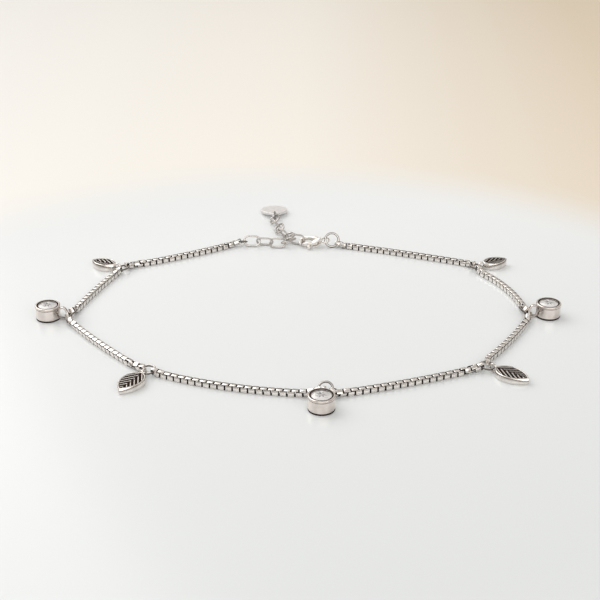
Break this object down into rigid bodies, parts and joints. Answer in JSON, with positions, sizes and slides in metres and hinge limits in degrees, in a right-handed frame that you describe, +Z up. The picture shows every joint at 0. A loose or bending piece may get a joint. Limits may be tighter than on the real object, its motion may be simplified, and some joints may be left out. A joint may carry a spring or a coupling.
{
  "type": "charm anklet",
  "caption": "Silver anklet of box chain with bezel-set round stones, leaf charms, a lobster clasp and a link extender, laid in a closed loop.",
  "frame": {"origin": "bottom centre of the anklet's box, on the surface it lies on", "axes": "+Z up, +X to the right across the loop, +Y towards the clasp and extender"},
  "size_m": [0.093, 0.0841, 0.0028],
  "materials": {
    "chain_silver": "polished silver",
    "wire_silver": "polished silver",
    "bezel_silver": "polished silver",
    "leaf_silver": "cast silver, polished high, darkened in the recesses",
    "tag_silver": "polished silver",
    "clasp_silver": "polished silver",
    "clear_stone": "clear cut stone"
  },
  "bodies": {
    "anklet": {"chain_back_left": "chain_silver", "chain_left_back": "chain_silver", "chain_left_front": "chain_silver", "chain_front_left": "chain_silver", "chain_front_right": "chain_silver", "chain_right_front": "chain_silver", "chain_right_back": "chain_silver", "chain_back_right": "chain_silver", "ring_leaf_left_back": "wire_silver", "ring_stone_left": "wire_silver", "ring_leaf_left_front": "wire_silver", "ring_stone_front": "wire_silver", "ring_leaf_right_front": "wire_silver", "ring_stone_right": "wire_silver", "ring_leaf_right_back": "wire_silver", "extender_link_1": "wire_silver", "extender_link_2": "wire_silver", "extender_link_3": "wire_silver", "extender_link_4": "wire_silver", "extender_link_5": "wire_silver", "extender_link_6": "wire_silver", "extender_link_7": "wire_silver", "extender_link_8": "wire_silver", "extender_link_9": "wire_silver", "extender_link_10": "wire_silver", "extender_end_ring": "wire_silver", "extender_tag_ring": "wire_silver", "clasp_ring": "wire_silver", "bezel_left": "bezel_silver", "bezel_front": "bezel_silver", "bezel_right": "bezel_silver", "stone_left": "clear_stone", "stone_front": "clear_stone", "stone_right": "clear_stone", "leaf_left_back": "leaf_silver", "leaf_left_front": "leaf_silver", "leaf_right_front": "leaf_silver", "leaf_right_back": "leaf_silver", "extender_tag": "tag_silver", "clasp_body": "clasp_silver"},
    "clasp_lever": {"clasp_lever": "clasp_silver"}
  },
  "joints": [
    {"name": "clasp_lever_hinge", "type": "hinge", "parent": "anklet", "child": "clasp_lever", "pos_m": [0.00351, 0.02141, 0.00095], "axis": [0.1134, 0.2886, -0.9507], "range_deg": [0, 10], "stiffness_Nm_per_rad": 0.000002, "springref_deg": -5.73}
  ]
}
